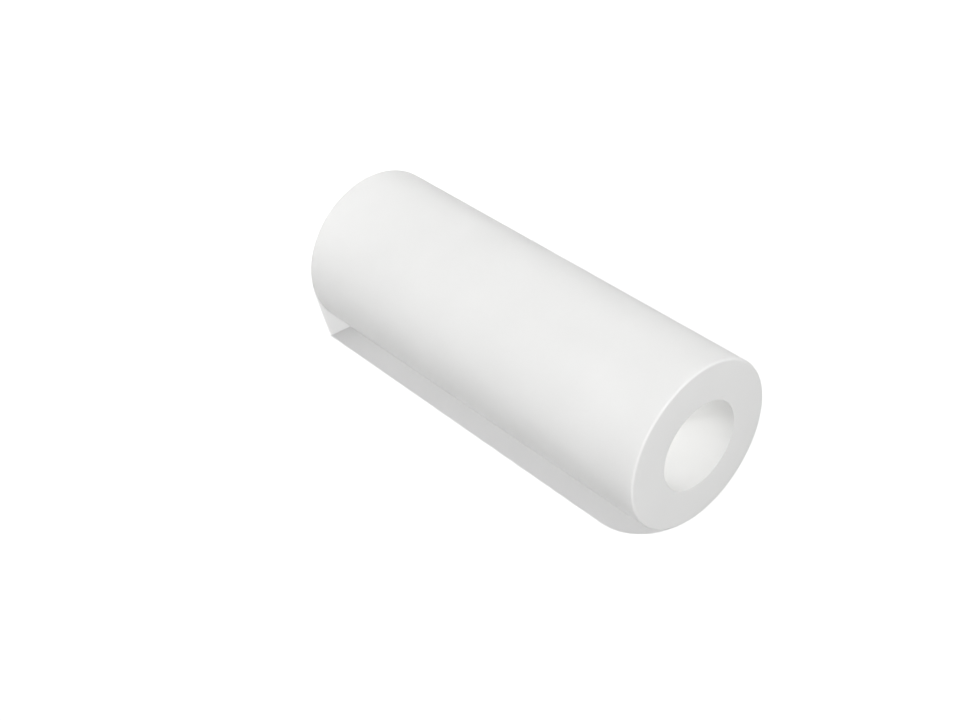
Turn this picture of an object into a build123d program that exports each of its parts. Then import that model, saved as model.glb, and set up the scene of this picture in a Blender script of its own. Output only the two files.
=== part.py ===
from build123d import *
import os

# Hollow rod: one piece of round stock with a plain bore right through it.
# It stands on its end, with the origin on the bore axis at the lower end face and +Z up that axis.

# Driving dimensions, in millimetres
outside_diameter = 75.0
bore_diameter = 40.0
rod_length = 200.0
rim_radius = 1.0  # rounding turned on the outer rim of each end

bore_radius = bore_diameter / 2
wall_thickness = outside_diameter / 2 - bore_radius

with BuildPart() as hollow_rod:
    # Section through the wall on one side of the axis, with its two outer corners rounded
    with BuildSketch(Plane.XZ) as wall_section:
        with Locations((bore_radius, 0)):
            Rectangle(wall_thickness, rod_length, align=(Align.MIN, Align.MIN))
        fillet(wall_section.vertices().group_by(Axis.X)[-1], radius=rim_radius)
    revolve(axis=Axis.Z)

hollow_rod.part.label = "hollow_rod"
os.makedirs("parts", exist_ok=True)
export_step(hollow_rod.part, "parts/hollow_rod.step")
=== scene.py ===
import bpy
from mathutils import Matrix, Vector


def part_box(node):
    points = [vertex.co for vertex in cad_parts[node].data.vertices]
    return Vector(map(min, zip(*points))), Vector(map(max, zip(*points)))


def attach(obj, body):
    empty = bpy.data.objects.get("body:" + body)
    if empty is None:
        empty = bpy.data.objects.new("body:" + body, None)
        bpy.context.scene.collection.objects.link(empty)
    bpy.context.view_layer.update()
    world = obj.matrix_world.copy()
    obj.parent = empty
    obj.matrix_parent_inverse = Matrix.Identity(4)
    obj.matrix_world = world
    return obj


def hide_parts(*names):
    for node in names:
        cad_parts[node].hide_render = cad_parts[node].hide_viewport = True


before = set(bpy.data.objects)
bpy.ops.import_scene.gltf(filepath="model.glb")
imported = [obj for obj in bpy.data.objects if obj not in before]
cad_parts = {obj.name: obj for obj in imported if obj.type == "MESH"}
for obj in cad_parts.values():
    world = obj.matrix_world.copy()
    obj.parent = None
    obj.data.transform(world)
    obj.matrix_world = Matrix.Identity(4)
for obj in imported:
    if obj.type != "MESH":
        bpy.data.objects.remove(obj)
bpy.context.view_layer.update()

MM = 0.001

# Sizes of the rod in metres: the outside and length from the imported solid, the rest as turned
lowest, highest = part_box("hollow_rod")
outer_radius = (highest.x - lowest.x) / 2
rod_length = highest.z - lowest.z
bore_radius = 20 * MM
rim_radius = 1 * MM
turn_steps = 256  # steps round the rod
rim_steps = 8  # steps round each rounded rim
weld_distance = 0.001 * MM  # points nearer than this become one, which closes the seams
sharp_angle = 0.7  # an edge that turns by more, in radians, is shaded sharp

# The finish of the rod
tool_line_pitch = 0.4 * MM
tool_line_depth = 0.02 * MM
tool_line_strength = 0.06
cloud_size = 30 * MM
milky_white = "F1F1F0"
bright_white = "F6F6F5"
smoothest, roughest = 0.42, 0.5
light_bending = 1.35  # the refractive index of PTFE
milkiness = 0.15  # the share of light that goes under the surface
light_depth = 1.5 * MM  # how far it spreads there

# The stage. The glow makes a lit surface full white to the camera and leaves the shadow pale grey
paper_white = "D0D0D0"
floor_glow = 0.45
sheet_glow = 0.28
reach = 4.0  # from the rod to each edge of the stage
sky_on_rod = 0.25
sky_to_camera = 1.0

# Lamps: the direction towards each one, and the angle in radians that it fills
high = (0.21, -0.768, 0.605)
low = (0.9, 0.41, 0.14)
over_end = (0.1, -0.2, 0.97)
crisp, firm, soft = 0.02, 0.05, 0.3

# The camera stands where the photograph's did, and is rolled because the rod lies on its side there
camera_place = Vector((0.3785, -0.3763, 0.4965))
camera_right = Vector((-0.7458, 0.0, 0.6662))
camera_ahead = Vector((-0.5434, 0.5784, -0.6084))
lens_mm = 58.63
sensor_mm = 36.0


def show(name, data):
    """A new object in the scene with this mesh, lamp or lens."""
    made = bpy.data.objects.new(name, data)
    bpy.context.scene.collection.objects.link(made)
    return made


def linear(hex_colour):
    """A linear colour with alpha from an sRGB hex such as F3F3F2."""
    out = []
    for place in (0, 2, 4):
        share = int(hex_colour[place:place + 2], 16) / 255
        out.append(share / 12.92 if share <= 0.04045 else ((share + 0.055) / 1.055) ** 2.4)
    return (*out, 1.0)


def add_node(tree, kind, settings=None, inputs=None):
    """Adds a node. Settings go on the node; each input is a constant or the output that feeds it."""
    node = tree.nodes.new(kind)
    for name, value in (settings or {}).items():
        setattr(node, name, value)
    for name, value in (inputs or {}).items():
        if isinstance(value, bpy.types.NodeSocket):
            tree.links.new(value, node.inputs[name])
        else:
            node.inputs[name].default_value = value
    return node


def add_maths(tree, operation, first, second):
    """The output of a sum on two numbers or outputs."""
    return add_node(tree, "ShaderNodeMath", {"operation": operation}, {0: first, 1: second}).outputs[0]


def add_noise(tree, dimensions, place, size):
    """The output of a random pattern. place names the input it follows, and size is in metres."""
    noise = add_node(tree, "ShaderNodeTexNoise", {"noise_dimensions": dimensions},
                     {**place, "Scale": 1 / size, "Detail": 2.0})
    return noise.outputs[0]


def new_material(name):
    """An empty node material and its output node."""
    made = bpy.data.materials.new(name)
    made.use_nodes = True
    made.node_tree.nodes.clear()
    return made, add_node(made.node_tree, "ShaderNodeOutputMaterial")


def ptfe_material():
    """Virgin PTFE, turned: milky white and waxy, with faint clouding and very fine tool lines."""
    made, output = new_material("virgin PTFE, fine turned")
    tree = made.node_tree
    place = add_node(tree, "ShaderNodeTexCoord").outputs["Object"]
    split = add_node(tree, "ShaderNodeSeparateXYZ", inputs={0: place})
    flat = add_node(tree, "ShaderNodeCombineXYZ", inputs={0: split.outputs["X"], 1: split.outputs["Y"]})
    radius = add_node(tree, "ShaderNodeVectorMath", {"operation": "LENGTH"}, {0: flat.outputs[0]})
    # Along the side this runs with height and over an end with radius, so lines ring the axis on both
    along = add_maths(tree, "ADD", radius.outputs["Value"], split.outputs["Z"])
    lines = add_noise(tree, "1D", {"W": along}, tool_line_pitch)
    clouds = add_noise(tree, "3D", {"Vector": place}, cloud_size)
    tint = add_node(tree, "ShaderNodeMix", {"data_type": "RGBA"}, {
        "Factor": clouds, 6: linear(milky_white), 7: linear(bright_white)})
    roughness = add_node(tree, "ShaderNodeMapRange", inputs={
        "Value": clouds, "To Min": smoothest, "To Max": roughest})
    bump = add_node(tree, "ShaderNodeBump", inputs={
        "Height": lines, "Strength": tool_line_strength, "Distance": tool_line_depth})
    shader = add_node(tree, "ShaderNodeBsdfPrincipled", inputs={
        "Base Color": tint.outputs[2], "Roughness": roughness.outputs[0], "Normal": bump.outputs[0],
        "IOR": light_bending, "Subsurface Weight": milkiness,
        "Subsurface Radius": (1.0, 1.0, 1.0), "Subsurface Scale": light_depth})
    tree.links.new(shader.outputs[0], output.inputs["Surface"])
    return made


def paper_material(name, glow, one_sided):
    """White paper: full white where lit, pale grey in shadow. One sided, it can't be seen from behind."""
    made, output = new_material(name)
    tree = made.node_tree
    path = add_node(tree, "ShaderNodeLightPath")
    shine = add_maths(tree, "MULTIPLY", path.outputs["Is Camera Ray"], glow)
    paper = add_node(tree, "ShaderNodeBsdfDiffuse", inputs={"Color": linear(paper_white)})
    light = add_node(tree, "ShaderNodeEmission", inputs={"Strength": shine})
    both = add_node(tree, "ShaderNodeAddShader", inputs={0: paper.outputs[0], 1: light.outputs[0]})
    surface = both.outputs[0]
    if one_sided:
        back = add_node(tree, "ShaderNodeNewGeometry")
        clear = add_node(tree, "ShaderNodeBsdfTransparent")
        mix = add_node(tree, "ShaderNodeMixShader", inputs={
            0: back.outputs["Backfacing"], 1: surface, 2: clear.outputs[0]})
        surface = mix.outputs[0]
    tree.links.new(surface, output.inputs["Surface"])
    return made


def revolve_tree(finish):
    """Nodes that sweep the wall's section round the axis, with its two outer corners rounded."""
    tree = bpy.data.node_groups.new("turned wall", "GeometryNodeTree")
    sockets = tree.interface
    for name in ("Outer radius", "Bore radius", "Length", "Rim radius"):
        sockets.new_socket(name, in_out="INPUT", socket_type="NodeSocketFloat")
    for name in ("Turn steps", "Rim steps"):
        sockets.new_socket(name, in_out="INPUT", socket_type="NodeSocketInt")
    sockets.new_socket("Geometry", in_out="OUTPUT", socket_type="NodeSocketGeometry")
    given = add_node(tree, "NodeGroupInput").outputs

    wall = add_maths(tree, "SUBTRACT", given["Outer radius"], given["Bore radius"])
    across = add_maths(tree, "ADD", given["Outer radius"], given["Bore radius"])
    middle = add_maths(tree, "MULTIPLY", across, 0.5)
    half_length = add_maths(tree, "MULTIPLY", given["Length"], 0.5)
    section = add_node(tree, "GeometryNodeCurvePrimitiveQuadrilateral", inputs={
        "Width": wall, "Height": given["Length"]})
    corner = add_node(tree, "GeometryNodeInputPosition")
    corner_split = add_node(tree, "ShaderNodeSeparateXYZ", inputs={0: corner.outputs[0]})
    # 1 at the section's outer corners and 0 at the bore's, which stay sharp
    is_outer = add_maths(tree, "GREATER_THAN", corner_split.outputs["X"], 0.0)
    rounded = add_node(tree, "GeometryNodeFilletCurve", {"mode": "POLY"}, {
        "Curve": section.outputs[0],
        "Radius": add_maths(tree, "MULTIPLY", is_outer, given["Rim radius"]),
        "Count": given["Rim steps"]})
    ring = add_node(tree, "GeometryNodeCurvePrimitiveCircle", inputs={
        "Resolution": given["Turn steps"], "Radius": middle})
    swept = add_node(tree, "GeometryNodeCurveToMesh", inputs={
        "Curve": ring.outputs[0], "Profile Curve": rounded.outputs[0]})
    joined = add_node(tree, "GeometryNodeMergeByDistance", inputs={
        "Geometry": swept.outputs[0], "Distance": weld_distance})
    lift = add_node(tree, "ShaderNodeCombineXYZ", inputs={2: half_length})
    stood = add_node(tree, "GeometryNodeTransform", inputs={
        "Geometry": joined.outputs[0], "Translation": lift.outputs[0]})
    smooth = add_node(tree, "GeometryNodeSetShadeSmooth", inputs={"Geometry": stood.outputs[0]})
    real = add_node(tree, "GeometryNodeRealizeInstances", inputs={"Geometry": smooth.outputs[0]})
    painted = add_node(tree, "GeometryNodeSetMaterial", inputs={
        "Geometry": real.outputs[0], "Material": finish})
    result = add_node(tree, "NodeGroupOutput")
    tree.links.new(painted.outputs[0], result.inputs[0])
    return tree


def turned_rod(finish):
    """The rod as a plain mesh, turned by the revolve nodes from the sizes above."""
    holder = show("rod maker", bpy.data.meshes.new("rod maker"))
    step = holder.modifiers.new("turned wall", "NODES")
    step.node_group = revolve_tree(finish)
    sizes = {"Outer radius": outer_radius, "Bore radius": bore_radius, "Length": rod_length,
             "Rim radius": rim_radius, "Turn steps": turn_steps, "Rim steps": rim_steps}
    for item in step.node_group.interface.items_tree:
        if item.name in sizes:
            step[item.identifier] = sizes[item.name]
    graph = bpy.context.evaluated_depsgraph_get()
    mesh = bpy.data.meshes.new_from_object(holder.evaluated_get(graph))
    bpy.data.objects.remove(holder)
    mesh.set_sharp_from_angle(angle=sharp_angle)
    return show("turned_rod", mesh)


def plane(name, corners, finish):
    """A flat piece of the stage with these corners."""
    mesh = bpy.data.meshes.new(name)
    mesh.from_pydata(corners, [], [tuple(range(len(corners)))])
    mesh.materials.append(finish)
    return show(name, mesh)


def group(name, *things):
    """A collection of things, for a lamp to light and nothing else."""
    made = bpy.data.collections.new(name)
    for thing in things:
        made.objects.link(thing)
    return made


def sun(name, towards, strength, angle, shadow=True, only=None):
    """A distant lamp, with the direction towards it. It lights everything, or only one group."""
    lamp = bpy.data.lights.new(name, "SUN")
    lamp.energy = strength
    lamp.angle = angle
    lamp.use_shadow = shadow
    made = show(name, lamp)
    made.rotation_euler = Vector(towards).to_track_quat("Z", "Y").to_euler()
    if only:
        made.light_linking.receiver_collection = only


def studio_sky():
    """White to the camera, and a soft even light on everything else."""
    world = bpy.data.worlds.new("studio")
    bpy.context.scene.world = world
    world.use_nodes = True
    tree = world.node_tree
    tree.nodes.clear()
    path = add_node(tree, "ShaderNodeLightPath")
    strength = add_node(tree, "ShaderNodeMapRange", inputs={
        "Value": path.outputs["Is Camera Ray"], "To Min": sky_on_rod, "To Max": sky_to_camera})
    sky = add_node(tree, "ShaderNodeBackground", inputs={
        "Color": (1, 1, 1, 1), "Strength": strength.outputs[0]})
    output = add_node(tree, "ShaderNodeOutputWorld")
    tree.links.new(sky.outputs[0], output.inputs["Surface"])


def photo_camera():
    """The scene's camera, at the photograph's viewing angle."""
    lens = bpy.data.cameras.new("camera")
    lens.lens = lens_mm
    lens.sensor_width = sensor_mm
    lens.clip_start = 10 * MM
    camera = show("camera", lens)
    bpy.context.scene.camera = camera
    ahead = camera_ahead.normalized()
    up = camera_right.cross(ahead).normalized()
    right = ahead.cross(up).normalized()
    turn = Matrix((right, up, -ahead)).transposed().to_4x4()
    camera.matrix_world = Matrix.Translation(camera_place) @ turn


rod = turned_rod(ptfe_material())
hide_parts("hollow_rod")
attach(rod, "root")

# The floor that the rod stands on
floor_corners = [(-reach, -reach, 0), (reach, -reach, 0), (reach, reach, 0), (-reach, reach, 0)]
floor = plane("floor", floor_corners, paper_material("white floor", floor_glow, False))

# The white sheet touches the rod's side and takes its shadow. It sends no light back to the rod
side = outer_radius
sheet_corners = [(-reach, side, -reach), (reach, side, -reach), (reach, side, reach), (-reach, side, reach)]
sheet = plane("white_sheet", sheet_corners, paper_material("white sheet", sheet_glow, True))
sheet.visible_diffuse = False
sheet.visible_glossy = False
sheet.visible_transmission = False
sheet.visible_shadow = False

# The high lamp is split, so that the rod's shadow is crisp on the stage and soft inside the bore
on_stage = group("on stage", floor, sheet)
on_rod = group("on rod", rod)
sun("high lamp on stage", high, strength=3.1, angle=crisp, only=on_stage)
sun("high lamp on rod", high, strength=0.65, angle=firm, only=on_rod)
sun("high fill on rod", high, strength=1.2, angle=firm, shadow=False, only=on_rod)
sun("low lamp", low, strength=0.65, angle=soft, shadow=False)
sun("end lamp", over_end, strength=0.5, angle=soft, shadow=False)

studio_sky()
photo_camera()
bpy.context.scene.view_settings.view_transform = "Standard"
